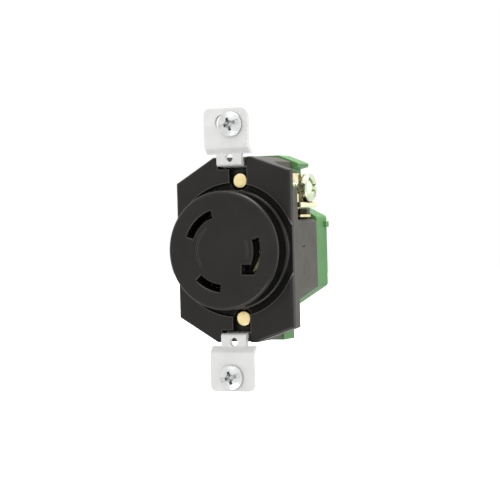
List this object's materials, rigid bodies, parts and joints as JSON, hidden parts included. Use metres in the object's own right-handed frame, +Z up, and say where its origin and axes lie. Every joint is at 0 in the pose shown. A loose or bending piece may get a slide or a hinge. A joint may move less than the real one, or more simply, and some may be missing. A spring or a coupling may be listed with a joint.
{
  "type": "locking receptacle",
  "caption": "Flush single gang locking receptacle: black face with curved blade slots on a bent steel strap, grey base with side wire terminals, green back cap.",
  "frame": {"origin": "on the face's axis, midway between the two wall plate screw holes, in the front plane of the strap's necks", "axes": "+X right seen from the front, +Y from front to back, +Z up towards the upper ear"},
  "size_m": [0.0472, 0.0405, 0.0926],
  "materials": {
    "face_black": "satin moulded nylon",
    "base_grey": "matt moulded phenolic",
    "cap_green": "matt moulded nylon",
    "strap_plated": "bright zinc plate",
    "contact_brass": "rolled sheet",
    "rivet_brass": "bright",
    "terminal_brass": "stamped",
    "screw_steel": "bright zinc plate",
    "screw_brass": "bright",
    "screw_silver": "nickel plate",
    "screw_green": "pale green tint over plate",
    "spring_steel": "tempered",
    "washer_fibre": "pressed fibre"
  },
  "bodies": {
    "root": {"face_cover": "face_black", "mounting_strap": "strap_plated", "contact_base": "base_grey", "back_cap": "cap_green", "ground_contact": "contact_brass", "line_contact": "contact_brass", "neutral_contact": "contact_brass", "ground_bond_rivet": "rivet_brass", "ground_contact_spring": "spring_steel", "line_contact_spring": "spring_steel", "neutral_contact_spring": "spring_steel", "assembly_rivet_top": "rivet_brass", "assembly_rivet_bottom": "rivet_brass"},
    "ground_clamp": {"ground_wire_clamp": "terminal_brass"},
    "ground_screw": {"ground_terminal_screw": "screw_green"},
    "line_clamp": {"line_wire_clamp": "terminal_brass"},
    "line_screw": {"line_terminal_screw": "screw_brass"},
    "neutral_clamp": {"neutral_wire_clamp": "terminal_brass"},
    "neutral_screw": {"neutral_terminal_screw": "screw_silver"},
    "top_retainer": {"screw_retainer_top": "washer_fibre"},
    "top_screw": {"mounting_screw_top": "screw_steel"},
    "bottom_retainer": {"screw_retainer_bottom": "washer_fibre"},
    "bottom_screw": {"mounting_screw_bottom": "screw_steel"}
  },
  "joints": [
    {"name": "ground_clamp_slide", "type": "slide", "parent": "root", "child": "ground_clamp", "axis": [1, 0, 0], "range_m": [-0.00278, 0]},
    {"name": "ground_screw_turn", "type": "hinge", "parent": "ground_clamp", "child": "ground_screw", "pos_m": [0.0206, 0.0158, 0.0198], "axis": [1, 0, 0], "range_deg": [-1260, 0]},
    {"name": "line_clamp_slide", "type": "slide", "parent": "root", "child": "line_clamp", "axis": [-1, 0, 0], "range_m": [-0.00278, 0]},
    {"name": "line_screw_turn", "type": "hinge", "parent": "line_clamp", "child": "line_screw", "pos_m": [-0.0206, 0.0158, 0.017], "axis": [-1, 0, 0], "range_deg": [-1260, 0]},
    {"name": "neutral_clamp_slide", "type": "slide", "parent": "root", "child": "neutral_clamp", "axis": [-1, 0, 0], "range_m": [-0.00278, 0]},
    {"name": "neutral_screw_turn", "type": "hinge", "parent": "neutral_clamp", "child": "neutral_screw", "pos_m": [-0.0206, 0.0158, -0.017], "axis": [-1, 0, 0], "range_deg": [-1260, 0]},
    {"name": "top_screw_shift", "type": "slide", "parent": "root", "child": "top_retainer", "axis": [1, 0, 0], "range_m": [-0.0039, 0.0001]},
    {"name": "top_screw_spin", "type": "hinge", "parent": "top_retainer", "child": "top_screw", "pos_m": [0.00195, -0.00205, 0.04097], "axis": [0, -1, 0], "continuous": true},
    {"name": "bottom_screw_shift", "type": "slide", "parent": "root", "child": "bottom_retainer", "axis": [1, 0, 0], "range_m": [-0.002, 0.002]},
    {"name": "bottom_screw_spin", "type": "hinge", "parent": "bottom_retainer", "child": "bottom_screw", "pos_m": [0, -0.00205, -0.04167], "axis": [0, -1, 0], "continuous": true}
  ],
  "couplings": [
    {"joint": "ground_screw_turn", "follows": "ground_clamp_slide", "rad_per_m": 7913.3},
    {"joint": "line_screw_turn", "follows": "line_clamp_slide", "rad_per_m": 7913.3},
    {"joint": "neutral_screw_turn", "follows": "neutral_clamp_slide", "rad_per_m": 7913.3}
  ]
}
